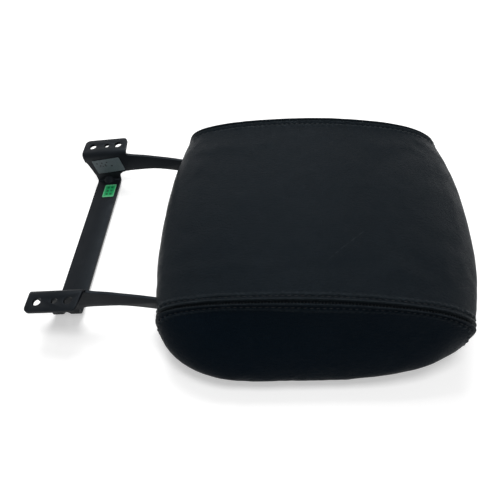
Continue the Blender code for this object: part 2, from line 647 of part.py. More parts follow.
def band_rings(depth):
    """Sections from the near seam to the far seam."""
    rings = []
    for across in (-1.0, -0.965, -0.75, -0.4, 0.0, 0.4, 0.75, 0.965, 1.0):
        dip = SEAM_DEPTH if abs(across) == 1.0 else 0.0
        outline = narrowed(inset_outline(depth + dip), abs(across) ** 2.4)
        rings.append([(PAD_REAR + x, across * SEAM_HALF_WIDTH, z) for x, z in outline])
    return rings


def smooth_step(share):
    """0 to 1 with level ends, and held there outside them."""
    share = min(max(share, 0.0), 1.0)
    return share ** 2 * (3 - 2 * share)


def dish_rings(depth, side, seam_gap=0.0):
    """Sections from a seam out to the middle of the bulging side panel."""
    middle, height = PAD_LENGTH / 2, PAD_HEIGHT / 2
    rings = []
    for step in range(SIDE_RINGS + 1):
        turn = math.pi / 2 * step / SIDE_RINGS
        size = 1 - SIDE_ROUNDING * (1 - math.cos(turn))
        outline = narrowed(inset_outline(depth + (0.0 if step else SEAM_DEPTH)), 1.0)
        ring = []
        for x, z in outline:
            x, z = middle + (x - middle) * size, height + (z - height) * size
            foot = BELLY_FOOT_REAR + (BELLY_FOOT_TIP - BELLY_FOOT_REAR) * smooth_step(x / PAD_LENGTH)
            belly = BELLY_TOP + (foot - BELLY_TOP) * smooth_step((BELLY_START - z) / BELLY_DROP)
            out = SEAM_HALF_WIDTH + seam_gap + math.sin(turn) * (belly - depth)
            ring.append((PAD_REAR + x, side * out, z))
        rings.append(ring)
    return rings


def loft(name, rings, mat, closed=False):
    """A closed skin over a row of sections that have equal numbers of points."""
    bm = bmesh.new()
    rows = [[bm.verts.new(point) for point in ring] for ring in rings]
    pairs = list(zip(rows, rows[1:])) + ([(rows[-1], rows[0])] if closed else [])
    count = len(rows[0])
    for near, far in pairs:
        for i in range(count):
            j = (i + 1) % count
            bm.faces.new((near[i], near[j], far[j]))
            bm.faces.new((near[i], far[j], far[i]))
    if not closed:
        for row in (rows[0], rows[-1]):
            centre = bm.verts.new(sum((vert.co for vert in row), Vector()) / count)
            for i in range(count):
                bm.faces.new((row[i], row[(i + 1) % count], centre))
    return from_bmesh(name, bm, mat)


def make_pad(core, board):
    """Leather covers over the foam, the base cover, and the slots that let the arms swing."""
    low, high = WEB_INNER - SLOT_CLEARANCE, WEB_OUTER + SLOT_CLEARANCE
    slots = []
    for name, side in both_sides():
        faces = sorted((side * low, side * high))
        slots.append(box(f"arm_slot_{name}", (PAD_REAR - 10 * MM, faces[0], -10 * MM),
                         (PIVOT.x + SLOT_AHEAD, faces[1], SLOT_HEAD), cutter=True))

    main = loft("cover_main_panel", band_rings(0.0) + band_rings(COVER)[::-1], LEATHER, closed=True)
    margin = BASE_MARGIN
    opening_rear, opening_front = BOARD_REAR + margin, BOARD_FRONT - margin
    opening_half = BOARD_HALF_WIDTH - margin
    combine(main, box("base_opening", (opening_rear, -opening_half, -5 * MM),
                      (opening_front, opening_half, BOARD_TOP), cutter=True))
    base = plate("cover_base_panel", [rounded_rectangle(((opening_rear + opening_front) / 2, 0.0),
                                                        (opening_front - opening_rear - 2 * GAP,
                                                         2 * opening_half - 2 * GAP), CORE_CORNER)],
                 0.0, COVER, "XY", LINING)
    for name, side in both_sides():
        outer, inner = dish_rings(0.0, side, GAP), dish_rings(COVER, side, GAP)
        loft(f"cover_side_panel_{name}", outer[::-1] + inner, LEATHER)

    depth = COVER + FOAM_GAP
    foam = loft("foam_pad", dish_rings(depth, -1)[:0:-1] + band_rings(depth) + dish_rings(depth, 1)[1:], FOAM)
    combine(foam, box("core_recess", (CORE_REAR - GAP, -CORE_HALF_WIDTH - GAP, -10 * MM),
                      (BOARD_FRONT + GAP, CORE_HALF_WIDTH + GAP, CORE_TOP + GAP), cutter=True))
    combine(foam, box("board_recess", (BOARD_REAR - GAP, -BOARD_HALF_WIDTH - GAP, -10 * MM),
                      (BOARD_FRONT + GAP, BOARD_HALF_WIDTH + GAP, PLATE_SEAT), cutter=True))
    for piece in (main, base, foam, core, board):
        for slot in slots:
            combine(piece, slot)


make_hinge_frame()
make_labels()
make_pad(*make_carrier())

for piece in collection.objects:
    if piece.type == "MESH":
        piece.data.shade_smooth()
        piece.data.set_sharp_from_angle(angle=math.radians(35.0))
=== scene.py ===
"""Looks of a fold-down rear-seat armrest: stitched black leather over foam, on a black steel hinge frame."""
import json
import math

import bmesh
import bpy
import numpy as np
from mathutils import Matrix, Vector


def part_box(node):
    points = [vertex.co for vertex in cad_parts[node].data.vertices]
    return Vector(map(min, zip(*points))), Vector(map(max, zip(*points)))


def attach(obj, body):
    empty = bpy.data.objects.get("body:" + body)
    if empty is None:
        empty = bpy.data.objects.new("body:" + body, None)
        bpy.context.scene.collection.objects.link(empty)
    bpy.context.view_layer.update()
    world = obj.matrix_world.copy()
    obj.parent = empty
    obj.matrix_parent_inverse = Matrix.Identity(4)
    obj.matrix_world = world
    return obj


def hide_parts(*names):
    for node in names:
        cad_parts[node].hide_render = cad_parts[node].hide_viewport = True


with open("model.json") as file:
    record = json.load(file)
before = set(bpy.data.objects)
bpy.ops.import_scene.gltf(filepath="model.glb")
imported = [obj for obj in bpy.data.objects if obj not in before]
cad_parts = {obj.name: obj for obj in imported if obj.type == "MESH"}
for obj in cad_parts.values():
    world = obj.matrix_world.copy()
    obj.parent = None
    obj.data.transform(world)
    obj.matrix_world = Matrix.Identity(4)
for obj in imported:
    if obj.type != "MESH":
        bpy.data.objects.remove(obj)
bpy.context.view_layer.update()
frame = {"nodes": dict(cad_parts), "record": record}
nodes = frame["nodes"]
MM = 0.001

# Pad form: the moulded foam gives the leather its shape. Seen from the side it is a long crowned wedge
# with blunt ends, drawn in a little towards the two seams; beyond them each side panel hangs nearly
# upright under its seam and then bellies out towards the foot.
pad_low, pad_high = (Vector(corner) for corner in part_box("cover_main_panel"))
PAD_REAR = pad_low.x
PAD_LENGTH = pad_high.x - pad_low.x
PAD_HEIGHT = pad_high.z
HALF_WIDTH = pad_high.y
SIDE_VIEW = ((0, 41), (9, 59), (43, 71.5), (95, 80), (162, 85), (223, 83.5), (265, 78), (292, 68.5),
             (305, 55), (296, 31), (264, 14), (215, 3), (196, 0), (128, 0), (60, 0), (24, 8), (6, 23))
SIDE_VIEW_SIZE = (305 * MM, 85 * MM)
SIDE_VIEW_STEPS = 40
REAR_NARROWING = 0.08
TIP_NARROWING = 0.11
CROWN_NARROWING = 0.01
NARROWING_FADE = 2.4
BELLY_TOP = 8.0 * MM
BELLY_FOOT_REAR = 47.5 * MM
BELLY_FOOT_TIP = 31.0 * MM
BELLY_START = 80.0 * MM
BELLY_DROP = 60.0 * MM
SIDE_ROUNDING = 0.5
SIDE_TURN = 0.6
SIDE_CENTRE = 0.97
COLUMN_STEPS = 240
AROUND = 480
MIRROR = np.array([1, -1, 1])


def smooth_curve(a, b, c, d, t):
    """A Catmull-Rom curve from b to c, with the points before and after them."""
    return 0.5 * (2 * b + (c - a) * t + (2 * a - 5 * b + 4 * c - d) * t ** 2
                  + (3 * b - a - 3 * c + d) * t ** 3)


def run_along(points):
    """The length run along a line of points, from 0 at the first of them."""
    return np.concatenate([[0.0], np.cumsum(np.linalg.norm(np.diff(points, axis=0), axis=1))])


def side_view(count):
    """Evenly spaced points of the pad's side view, from the rear nose over the crown to the tip and back."""
    keys = np.array(SIDE_VIEW) * MM * (PAD_LENGTH / SIDE_VIEW_SIZE[0], PAD_HEIGHT / SIDE_VIEW_SIZE[1])
    t = np.linspace(0, 1, SIDE_VIEW_STEPS, endpoint=False)[:, None]
    spans = []
    for i in range(len(keys)):
        spans.append(smooth_curve(*(keys[(i + k) % len(keys)] for k in (-1, 0, 1, 2)), t))
    curve = np.concatenate(spans + [keys[:1]])
    curve[:, 1] = np.maximum(curve[:, 1], 0.0)
    run = run_along(curve)
    places = np.arange(count) / count * run[-1]
    return np.stack([np.interp(places, run, curve[:, k]) for k in (0, 1)], axis=1)


def smooth_step(share):
    """Eases from 0 to 1 with no corner at either end."""
    share = np.clip(share, 0.0, 1.0)
    return share ** 2 * (3 - 2 * share)


def pad_columns(count, part):
    """Dense columns of points, one at each step around the pad: half the main panel, or a side panel.

    Each column starts at the seam. A "main" one ends at the middle plane, a "side" one at the panel's centre.
    """
    outline = side_view(count)
    middle, half_height = PAD_LENGTH / 2, PAD_HEIGHT / 2
    t = np.linspace(0, 1, COLUMN_STEPS)[:, None]
    share = (1 - t) ** NARROWING_FADE if part == "main" else np.ones_like(t)
    ends = np.where(outline[:, 0] < middle, REAR_NARROWING, TIP_NARROWING)
    x = middle + (outline[:, 0] - middle) * (1 - share * ends)
    z = outline[:, 1] * (1 - share * CROWN_NARROWING)
    if part == "main":
        y = HALF_WIDTH * (1 - t) + 0 * x
    else:
        turn = np.minimum(t / SIDE_TURN, 1.0) * math.pi / 2
        inward = np.maximum(t - SIDE_TURN, 0.0) / (1 - SIDE_TURN)
        size = (1 - SIDE_ROUNDING * (1 - np.cos(turn))) * (1 - inward * SIDE_CENTRE)
        x = middle + (x - middle) * size
        z = half_height + (z - half_height) * size
        foot = BELLY_FOOT_REAR + (BELLY_FOOT_TIP - BELLY_FOOT_REAR) * smooth_step(x / PAD_LENGTH)
        belly = BELLY_TOP + (foot - BELLY_TOP) * smooth_step((BELLY_START - z) / BELLY_DROP)
        y = HALF_WIDTH + np.sin(turn) * belly
    return np.stack([x + PAD_REAR, y, z], axis=2)


def respaced(columns, near_seam, spread):
    """Each column's points at true distances from the seam, and then spread over what is left of it."""
    steps = np.linalg.norm(np.diff(columns, axis=0), axis=2)
    run = np.concatenate([np.zeros((1, columns.shape[1])), np.cumsum(steps, axis=0)])
    first = np.repeat(near_seam[:, None], columns.shape[1], axis=1)
    places = np.concatenate([first, near_seam[-1] + (run[-1] - near_seam[-1]) * spread[:, None]])
    points = np.empty((len(places), columns.shape[1], 3))
    for i in range(columns.shape[1]):
        for k in range(3):
            points[:, i, k] = np.interp(places[:, i], run[:, i], columns[:, i, k])
    return points, places


def normals(points):
    """Outward normals of a grid of points that closes around its second axis."""
    around = np.roll(points, -1, axis=1) - np.roll(points, 1, axis=1)
    across = np.gradient(points, axis=0)
    out = np.cross(across, around)
    out /= np.maximum(np.linalg.norm(out, axis=2, keepdims=True), 1e-12)
    centre = np.array([PAD_REAR + PAD_LENGTH / 2, 0.0, PAD_HEIGHT / 2])
    if np.sum(out * (points - centre)) < 0:
        out = -out
    return out


def skin_mesh(name, points, centre=None):
    """A piece from a grid of points that closes around its second axis; a centre closes its last row."""
    rows, count = points.shape[:2]
    verts = list(points.reshape(-1, 3))
    index = np.arange(rows * count).reshape(rows, count)
    faces = [(index[r, i], index[r, (i + 1) % count], index[r + 1, (i + 1) % count], index[r + 1, i])
             for r in range(rows - 1) for i in range(count)]
    if centre is not None:
        verts.append(centre)
        faces += [(index[-1, i], index[-1, (i + 1) % count], rows * count) for i in range(count)]
    mesh = bpy.data.meshes.new(name)
    mesh.from_pydata(verts, [], faces)
    piece = bpy.data.objects.new(name, mesh)
    bpy.context.scene.collection.objects.link(piece)
    bm = bmesh.new()
    bm.from_mesh(mesh)
    bmesh.ops.recalc_face_normals(bm, faces=bm.faces)
    middle = Vector((PAD_REAR + PAD_LENGTH / 2, 0.0, PAD_HEIGHT / 2))
    if sum(face.normal.dot(face.calc_center_median() - middle) for face in bm.faces) < 0:
        bmesh.ops.reverse_faces(bm, faces=bm.faces)
    bm.to_mesh(mesh)
    bm.free()
    mesh.shade_smooth()
    return piece


def only(piece):
    """Selects this object alone and makes it active."""
    bpy.ops.object.select_all(action="DESELECT")
    piece.select_set(True)
    bpy.context.view_layer.objects.active = piece


def finished(piece, kind, **settings):
    """Adds a modifier and applies it."""
    modifier = piece.modifiers.new(kind.lower(), kind)
    for key, value in settings.items():
        setattr(modifier, key, value)
    only(piece)
    bpy.ops.object.modifier_apply(modifier=modifier.name)


# Fullness of the leather: the cover is pulled tight over springy foam, which holds its form, so between
# its seams the leather only ripples a little and creases where it is sewn. The ripples are found with
# cloth under pressure, held fast at the seams and the base and loosely by the foam.
COARSE = 200
ACROSS = 34
RIPPLE_SHARE = 0.3
RIPPLE_IN = 0.6 * MM
RIPPLE_OUT = 0.8 * MM
FULLNESS_START = 0.8 * MM
FULLNESS_EASE = 0.3
FOAM_HOLD = 0.12
HELD_BELOW = 1.5 * MM
CLOTH_FRAMES = 20
CLOTH_SETTINGS = {"quality": 6, "mass": 0.3, "tension_stiffness": 12, "compression_stiffness": 12,
                  "bending_stiffness": 0.05, "shrink_min": -0.03, "use_pressure": True,
                  "uniform_pressure_force": 4.0, "vertex_group_mass": "held"}
FINE_BLUR = 1
BROAD_BLUR = 40


def blurred(grid, passes):
    """A grid smoothed around its ring and across it."""
    for _ in range(passes):
        grid = (np.roll(grid, 1, axis=1) + 2 * grid + np.roll(grid, -1, axis=1)) / 4
        wide = np.concatenate([grid[:1], grid, grid[-1:]])
        grid = (wide[:-2] + 2 * wide[1:-1] + wide[2:]) / 4
    return grid


def swollen(sheet):
    """The points of the sheet, from near side to far side, after the pressure has filled it."""
    body = skin_mesh("fullness_cloth", sheet)
    bm = bmesh.new()
    bm.from_mesh(body.data)
    bmesh.ops.holes_fill(bm, edges=[edge for edge in bm.edges if edge.is_boundary], sides=0)
    bm.to_mesh(body.data)
    bm.free()
    held = body.vertex_groups.new(name=CLOTH_SETTINGS["vertex_group_mass"])
    rows = len(sheet)
    seams = (ACROSS - 1, rows - ACROSS)
    for row in range(rows):
        for i in range(COARSE):
            fast = row in seams or sheet[row, i, 2] < HELD_BELOW
            held.add([row * COARSE + i], 1.0 if fast else FOAM_HOLD, "REPLACE")
    cloth = body.modifiers.new("cloth", "CLOTH")
    for key, value in CLOTH_SETTINGS.items():
        setattr(cloth.settings, key, value)
    cloth.settings.effector_weights.gravity = 0.0
    cloth.collision_settings.use_collision = False
    cloth.point_cache.frame_start = 1
    cloth.point_cache.frame_end = CLOTH_FRAMES
    for step in range(1, CLOTH_FRAMES + 1):
        bpy.context.scene.frame_set(step)
    mesh = body.evaluated_get(bpy.context.evaluated_depsgraph_get()).to_mesh()
    moved = np.empty(len(mesh.vertices) * 3)
    mesh.vertices.foreach_get("co", moved)
    bpy.context.scene.frame_set(1)
    bpy.data.objects.remove(body)
    return moved.reshape(-1, 3)[:rows * COARSE].reshape(rows, COARSE, 3)


def fullness():
    """How far the cover stands off the bare form: two grids over the coarse steps around and across."""
    spread = np.linspace(0, 1, ACROSS)
    away = np.minimum(spread / FULLNESS_EASE, 1.0)[:, None]
    bare, start = {}, {}
    for part in ("main", "side"):
        bare[part], _ = respaced(pad_columns(COARSE, part), np.array([0.0]), spread[1:])
        depth = FULLNESS_START * away * (bare[part][..., 2] > MM)
        start[part] = bare[part] - normals(bare[part]) * depth[..., None]
    moved = swollen(np.concatenate([start["side"][::-1], start["main"][1:], start["main"][-2::-1] * MIRROR,
                                    start["side"][1:] * MIRROR]))
    seam = ACROSS - 1
    stand = {}
    for part, points in (("side", moved[seam::-1]), ("main", moved[seam:seam + ACROSS])):
        off = np.sum((points - bare[part]) * normals(bare[part]), axis=2)
        ripples = (blurred(off, FINE_BLUR) - blurred(off, BROAD_BLUR)) * RIPPLE_SHARE
        stand[part] = np.clip(ripples, -RIPPLE_IN, RIPPLE_OUT)
    return stand, spread


def smooth_between(grid, spread, count, fraction):
    """The coarse grid read off smoothly at fine steps around and at each point's own fraction across."""
    def curve(values, place):
        i = np.clip(np.floor(place).astype(int), 0, len(values) - 2)
        before, after = np.maximum(i - 1, 0), np.minimum(i + 2, len(values) - 1)
        return smooth_curve(values[before], values[i], values[i + 1], values[after], place - i)

    lap = 2
    ring = np.concatenate([grid[:, -lap:], grid, grid[:, :lap + 1]], axis=1)
    place = np.arange(count) / count * COARSE + lap
    rows = np.array([curve(row, place) for row in ring])
    columns = [curve(rows[:, i], np.clip(fraction[:, i], 0, 1) * (len(spread) - 1)) for i in range(count)]
    return np.array(columns).T


swell, swell_spread = fullness()

# Leather: full-grain hide, dyed black, with a fine pebbled grain, a dull sheen and small differences
# in tone, rubbed smooth on the folded edges, whose crests are painted paler: partly wear, partly a
# painted highlight. A fine scratch crosses the top near the tip, where the armrest has been used. The
# side panels get a darker, bluer and less glossy copy of the leather: painted shade, for sides that
# face away from the lamps.
SCRATCH_START = (61.0 * MM, -79.0 * MM)
SCRATCH_END = (100.0 * MM, -39.0 * MM)
SCRATCH_WIDTH = 0.45 * MM
SCRATCH_ABOVE = 60 * MM
LEATHER_ROUGHNESS = 0.45
PEBBLES = 620.0
GRAIN = 320.0
GRAIN_STRETCH = (1.0, 1.7, 1.5)
PORE_TONE = (0.0015, 0.0022, 0.0030)
SCRATCH_TONE = (0.055, 0.062, 0.066)
# Paler tone for the crests of the folds: partly wear, partly a painted highlight.
FOLD_WEAR_AND_HIGHLIGHT_TONE = (0.024, 0.030, 0.034)


def new_material(name, colour, roughness, metallic=0.0):
    """A Principled material; gives back its node tree and shader too."""
    mat = bpy.data.materials.new(name)
    mat.use_nodes = True
    tree = mat.node_tree
    shader = tree.nodes["Principled BSDF"]
    shader.inputs["Base Color"].default_value = (*colour, 1.0)
    shader.inputs["Roughness"].default_value = roughness
    shader.inputs["Metallic"].default_value = metallic
    return mat, tree, shader


def node(tree, kind, inputs=None, **settings):
    """Adds a node, sets it and links or fills its inputs."""
    made = tree.nodes.new("ShaderNode" + kind)
    for key, value in settings.items():
        setattr(made, key, value)
    for key, value in (inputs or {}).items():
        if isinstance(value, bpy.types.NodeSocket):
            tree.links.new(value, made.inputs[key])
        else:
            made.inputs[key].default_value = value
    return made


def noise(tree, scale, detail=3.0, roughness=0.55, vector=None):
    """Noise on Object coordinates, its scale as features to the metre."""
    place = vector or node(tree, "TexCoord").outputs["Object"]
    return node(tree, "TexNoise", {"Vector": place, "Scale": scale, "Detail": detail,
                                   "Roughness": roughness}).outputs["Fac"]


def ramp(tree, value, low, high, to_low=0.0, to_high=1.0):
    """Maps a value from one range to another, held at both ends."""
    return node(tree, "MapRange", {0: value, 1: low, 2: high, 3: to_low, 4: to_high}).outputs[0]


def blended(tree, factor, first, second):
    """Mixes two colours, given as triples or sockets."""
    mix = node(tree, "Mix", data_type="RGBA")
    for key, value in ((0, factor), (6, first), (7, second)):
        if isinstance(value, bpy.types.NodeSocket):
            tree.links.new(value, mix.inputs[key])
        else:
            mix.inputs[key].default_value = value if key == 0 else (*value, 1.0)
    return mix.outputs[2]


def math_node(tree, operation, a, b=0.0):
    """One step of arithmetic on sockets or numbers."""
    return node(tree, "Math", {0: a, 1: b}, operation=operation).outputs[0]


def bump(tree, height, distance, strength=1.0, normal=None):
    """A relief of the given depth, over another relief where one is given."""
    made = node(tree, "Bump", {"Height": height, "Distance": distance, "Strength": strength})
    if normal:
        tree.links.new(normal, made.inputs["Normal"])
    return made.outputs["Normal"]


def scratch_mask(tree, place):
    """1 along the fine, broken scratch on the top, 0 elsewhere."""
    start, end = Vector((*SCRATCH_START, 0.0)), Vector((*SCRATCH_END, 0.0))
    along = (end - start).normalized()
    turned = node(tree, "Mapping", {"Vector": node(tree, "VectorMath", {0: place, 1: tuple(start)},
                                                   operation="SUBTRACT").outputs[0],
                                    "Rotation": (0.0, 0.0, -math.atan2(along.y, along.x))})
    split = node(tree, "SeparateXYZ", {0: turned.outputs[0]})
    wander = ramp(tree, noise(tree, 45.0, 2.0), 0.3, 0.7, -0.5 * MM, 0.5 * MM)
    off = math_node(tree, "ABSOLUTE", math_node(tree, "ADD", split.outputs["Y"], wander))
    line = ramp(tree, off, SCRATCH_WIDTH * 0.35, SCRATCH_WIDTH, 1.0, 0.0)
    length = (end - start).length
    run = math_node(tree, "MULTIPLY", ramp(tree, split.outputs["X"], 0.0, 4 * MM),
                    ramp(tree, split.outputs["X"], length - 6 * MM, length, 1.0, 0.0))
    height = node(tree, "SeparateXYZ", {0: place}).outputs["Z"]
    top_only = ramp(tree, height, SCRATCH_ABOVE, SCRATCH_ABOVE + 6 * MM)
    broken = ramp(tree, noise(tree, 420.0, 2.0), 0.38, 0.55)
    return math_node(tree, "MULTIPLY", math_node(tree, "MULTIPLY", line, run),
                     math_node(tree, "MULTIPLY", top_only, broken))


def make_leather(name, dark, light, gloss_level, gloss_tint):
    """Leather between two tones, with its pebbled grain, the scratch, and the crests of its folds rubbed
    smooth and painted paler: partly wear, partly a painted highlight.
    """
    mat, tree, shader = new_material(name, light, LEATHER_ROUGHNESS)
    place = node(tree, "TexCoord").outputs["Object"]
    bent = node(tree, "VectorMath", {0: place, 1: node(tree, "VectorMath", {
        0: node(tree, "TexNoise", {"Vector": place, "Scale": 260.0}).outputs["Color"],
        "Scale": 1.4 * MM}, operation="SCALE").outputs[0]}, operation="ADD").outputs[0]
    pebbles = node(tree, "TexVoronoi", {"Vector": bent, "Scale": PEBBLES, "Randomness": 0.95},
                   feature="DISTANCE_TO_EDGE").outputs["Distance"]
    grain = ramp(tree, pebbles, 0.0, 0.16)
    fine = noise(tree, 2600.0, 2.0)
    patches = ramp(tree, noise(tree, 14.0, 4.0), 0.35, 0.68)
    tone = blended(tree, patches, dark, light)
    pores = math_node(tree, "MULTIPLY", ramp(tree, grain, 0.0, 0.5, 1.0, 0.0), 0.45)
    tone = blended(tree, pores, tone, PORE_TONE)
    scratch = scratch_mask(tree, place)
    tone = blended(tree, math_node(tree, "MULTIPLY", scratch, 0.5), tone, SCRATCH_TONE)
    fold = node(tree, "Attribute", attribute_name="fold").outputs["Fac"]
    # The crests of the folds are painted paler: partly wear, partly a painted highlight in place of the
    # lamp's glint on the ridges.
    rubbed = math_node(tree, "MULTIPLY", fold, ramp(tree, noise(tree, 330.0, 3.0), 0.35, 0.65, 0.25, 0.6))
    tone = blended(tree, rubbed, tone, FOLD_WEAR_AND_HIGHLIGHT_TONE)
    tree.links.new(tone, shader.inputs["Base Color"])

    gloss = ramp(tree, noise(tree, 30.0, 3.0), 0.3, 0.7, 0.34, 0.44)
    gloss = math_node(tree, "ADD", gloss, ramp(tree, grain, 0.0, 0.6, 0.10, 0.0))
    gloss = math_node(tree, "SUBTRACT", gloss, math_node(tree, "MULTIPLY", fold, 0.18))
    tree.links.new(gloss, shader.inputs["Roughness"])
    shader.inputs["Specular IOR Level"].default_value = gloss_level
    shader.inputs["Specular Tint"].default_value = (*gloss_tint, 1.0)
    stretched = node(tree, "Mapping", {"Vector": place, "Scale": GRAIN_STRETCH}).outputs[0]
    normal = bump(tree, grain, 0.32 * MM, 1.0)
    normal = bump(tree, fine, 0.03 * MM, 0.35, normal)
    normal = bump(tree, noise(tree, GRAIN, 3.0, 0.6, stretched), 0.90 * MM, 0.95, normal)
    normal = bump(tree, noise(tree, 70.0, 3.0), 0.35 * MM, 0.35, normal)
    normal = bump(tree, scratch, 0.06 * MM, 0.6, normal)
    tree.links.new(normal, shader.inputs["Normal"])
    return mat


LEATHER = make_leather("black_leather", (0.0028, 0.0046, 0.0066), (0.0046, 0.0066, 0.0088),
                       0.062, (0.60, 0.82, 1.0))
# A darker, bluer, less glossy copy of the leather for the side panels: painted shade, as the sides face away
# from the lamps.
SHADED_SIDE_LEATHER = make_leather("shaded_side_leather", (0.0012, 0.0030, 0.0058), (0.0026, 0.0048, 0.0080),
                            0.036, (0.42, 0.74, 1.0))

# Seams: each side panel is sewn to the main panel with its edge folded under, and the fold is stitched
# down on both sides of the seam. Between the two rows of stitches the folded edges stand up as two round
# ridges with a tight groove between them, and the leather puckers where the thread pulls.
SEAM_STEPS = np.array([0, 0.35, 0.7, 1.05, 1.4, 1.8, 2.2, 2.6, 3.0, 3.4, 3.9, 4.4, 4.9, 5.3, 5.7, 6.1, 6.6,
                       7.2, 8.0, 9.0, 10.2, 11.6, 13.2, 15.0]) * MM
MAIN_STEPS = 28
SIDE_STEPS = 26
RIDGE_LINE = 2.1 * MM
RIDGE_FOOT = 4.0 * MM
STITCH_LINE = 5.7 * MM
PUCKER_LINE = 7.9 * MM
STITCH_PITCH = 5.6 * MM
KNOT_SPACING = 6
GROOVE_DEPTH = 3.2 * MM
GROOVE_HALF_WIDTH = 1.15 * MM
RIPPLES_FROM = 18 * MM
FLAT_BELOW = 0.5 * MM
FLAT_EASE = 4 * MM


def bell(s, middle, width):
    """A smooth hump of height 1."""
    return np.exp(-((s - middle) / width) ** 2)


def pucker(length, seed):
    """An uneven wave along a seam, about 1 at the holes of the stitches and -1 between them."""
    rng = np.random.default_rng(seed)
    count = len(length)
    knots = rng.normal(size=count // KNOT_SPACING)
    uneven = np.interp(np.arange(count), np.arange(len(knots)) * KNOT_SPACING, knots)
    total = length[-1] + (length[-1] - length[-2])
    stitches = round(total / STITCH_PITCH)
    wave = np.cos(2 * math.pi * stitches * length / total)
    return wave, uneven


def seam_relief(places, length, seed, lift):
    """Height of the folded and stitched edge over the plain surface, by true distance from the seam."""
    s = places / MM
    wave, uneven = pucker(length, seed)
    ridge = (1.75 + 0.06 * uneven) * bell(s, RIDGE_LINE / MM, 1.25) + 0.35 * bell(s, RIDGE_FOOT / MM, 1.2)
    row = -(0.70 + 0.35 * wave) * bell(s, STITCH_LINE / MM, 0.75)
    beyond = (0.70 - 0.42 * wave + 0.22 * uneven) * bell(s, PUCKER_LINE / MM, 1.5)
    return (lift * (ridge + beyond) + row) * MM


def closed_run(ring):
    """The length run around a ring of points, up to and with the step that closes it."""
    return run_along(np.vstack([ring, ring[:1]]))


def bare_grid(part, spread):
    """One panel's bare grid with its outward normals and the true distances from the seam."""
    bare, places = respaced(pad_columns(AROUND, part), SEAM_STEPS, spread)
    return bare, normals(bare), places


half_bare = bare_grid("main", np.linspace(0, 1, MAIN_STEPS)[1:])
side_bare = bare_grid("side", np.linspace(0, 1, SIDE_STEPS)[1:])
between = half_bare[1][0] + side_bare[1][0]
between /= np.linalg.norm(between, axis=1, keepdims=True)


def panel(part, grid, seed, lift):
    """One panel's fine grid, rippled, with its stitched edge, which dives into the groove at the seam."""
    bare, out, places = grid
    stand = smooth_between(swell[part], swell_spread, AROUND, places / places[-1])
    fade = np.clip(places / RIPPLES_FROM, 0.0, 1.0)
    relief = seam_relief(places, closed_run(bare[0])[:-1], seed, lift)
    raised = np.clip((bare[..., 2] - FLAT_BELOW) / FLAT_EASE, 0.0, 1.0)
    height = stand * fade ** 2 * raised + np.where(relief > 0, relief * raised, relief)
    groove = GROOVE_DEPTH * bell(places, 0.0, GROOVE_HALF_WIDTH)
    points = bare + out * height[..., None] - between * groove[..., None]
    points[..., 2] = np.maximum(points[..., 2], 0.0)
    return points


def mark_folds(piece, distances):
    """Stores on a panel how much each point lies on the crest of a folded or puckered edge."""
    s = np.abs(distances) / MM
    crest = bell(s, RIDGE_LINE / MM, 1.2) + 0.7 * bell(s, PUCKER_LINE / MM, 1.3)
    layer = piece.data.attributes.new("fold", "FLOAT", "POINT")
    values = np.zeros(len(piece.data.vertices))
    values[:crest.size] = crest.ravel()
    layer.data.foreach_set("value", values)


# Main panel: one wide piece of leather that wraps the pad from seam to seam, over the crown, round the
# tip and the rear nose and under the pad, where it is open for the base. Two slots let the arms swing.
LEATHER_THICKNESS = 1.1 * MM
ARM_MIDDLE = 95.0 * MM
SLOT_HALF_WIDTH = 4.2 * MM
SLOT_HEAD = 43.5 * MM
SLOT_PAST_ROD = 20 * MM
CUT_CLEAR = 10 * MM
BASE_GAP = 0.3 * MM
BASE_CUT_TOP = 4 * MM
MAIN_SEED = 3
MAIN_LIFT = 0.95


def cut_box(piece, low, high):
    """Cuts a box out of a piece."""
    bpy.ops.mesh.primitive_cube_add(size=1.0, location=tuple((Vector(low) + Vector(high)) / 2),
                                    scale=tuple(Vector(high) - Vector(low)))
    cutter = bpy.context.object
    finished(piece, "BOOLEAN", object=cutter, operation="DIFFERENCE", solver="EXACT")
    bpy.data.objects.remove(cutter)


half_rows = panel("main", half_bare, MAIN_SEED, MAIN_LIFT)
main_panel = skin_mesh("main_panel", np.concatenate([half_rows, half_rows[-2::-1] * MIRROR]))
mark_folds(main_panel, np.concatenate([half_bare[2], half_bare[2][-2::-1]]))
finished(main_panel, "SOLIDIFY", thickness=LEATHER_THICKNESS, offset=-1.0)
slot_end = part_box("lower_stop_rod")[1][0] + SLOT_PAST_ROD
for arm_y in (-ARM_MIDDLE, ARM_MIDDLE):
    cut_box(main_panel, (PAD_REAR - CUT_CLEAR, arm_y - SLOT_HALF_WIDTH, -CUT_CLEAR),
            (slot_end, arm_y + SLOT_HALF_WIDTH, SLOT_HEAD))
base_low, base_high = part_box("cover_base_panel")
cut_box(main_panel, (base_low[0] - BASE_GAP, base_low[1] - BASE_GAP, -CUT_CLEAR),
        (base_high[0] + BASE_GAP, base_high[1] + BASE_GAP, BASE_CUT_TOP))
main_panel.data.materials.clear()
main_panel.data.materials.append(LEATHER)
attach(main_panel, "pad")
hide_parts("cover_main_panel")

# Side panels: one piece of leather on each side, sewn all the way round its edge to the main panel. It
# hangs a little fuller at the fold than the main panel does.
SIDE_SEED = 11
SIDE_LIFT = 1.1
side_rows = panel("side", side_bare, SIDE_SEED, SIDE_LIFT)
side_centre = side_rows[-1].mean(axis=0)
for name, side in (("near", -1), ("far", 1)):
    mirror = np.array([1, side, 1])
    side_panel = skin_mesh(f"side_panel_{name}", side_rows * mirror, side_centre * mirror)
    mark_folds(side_panel, side_bare[2])
    finished(side_panel, "SOLIDIFY", thickness=LEATHER_THICKNESS, offset=-1.0)
    # Each side panel takes the darker copy of the leather: painted shade.
    side_panel.data.materials.append(SHADED_SIDE_LEATHER)
    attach(side_panel, "pad")
    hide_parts(f"cover_side_panel_{name}")

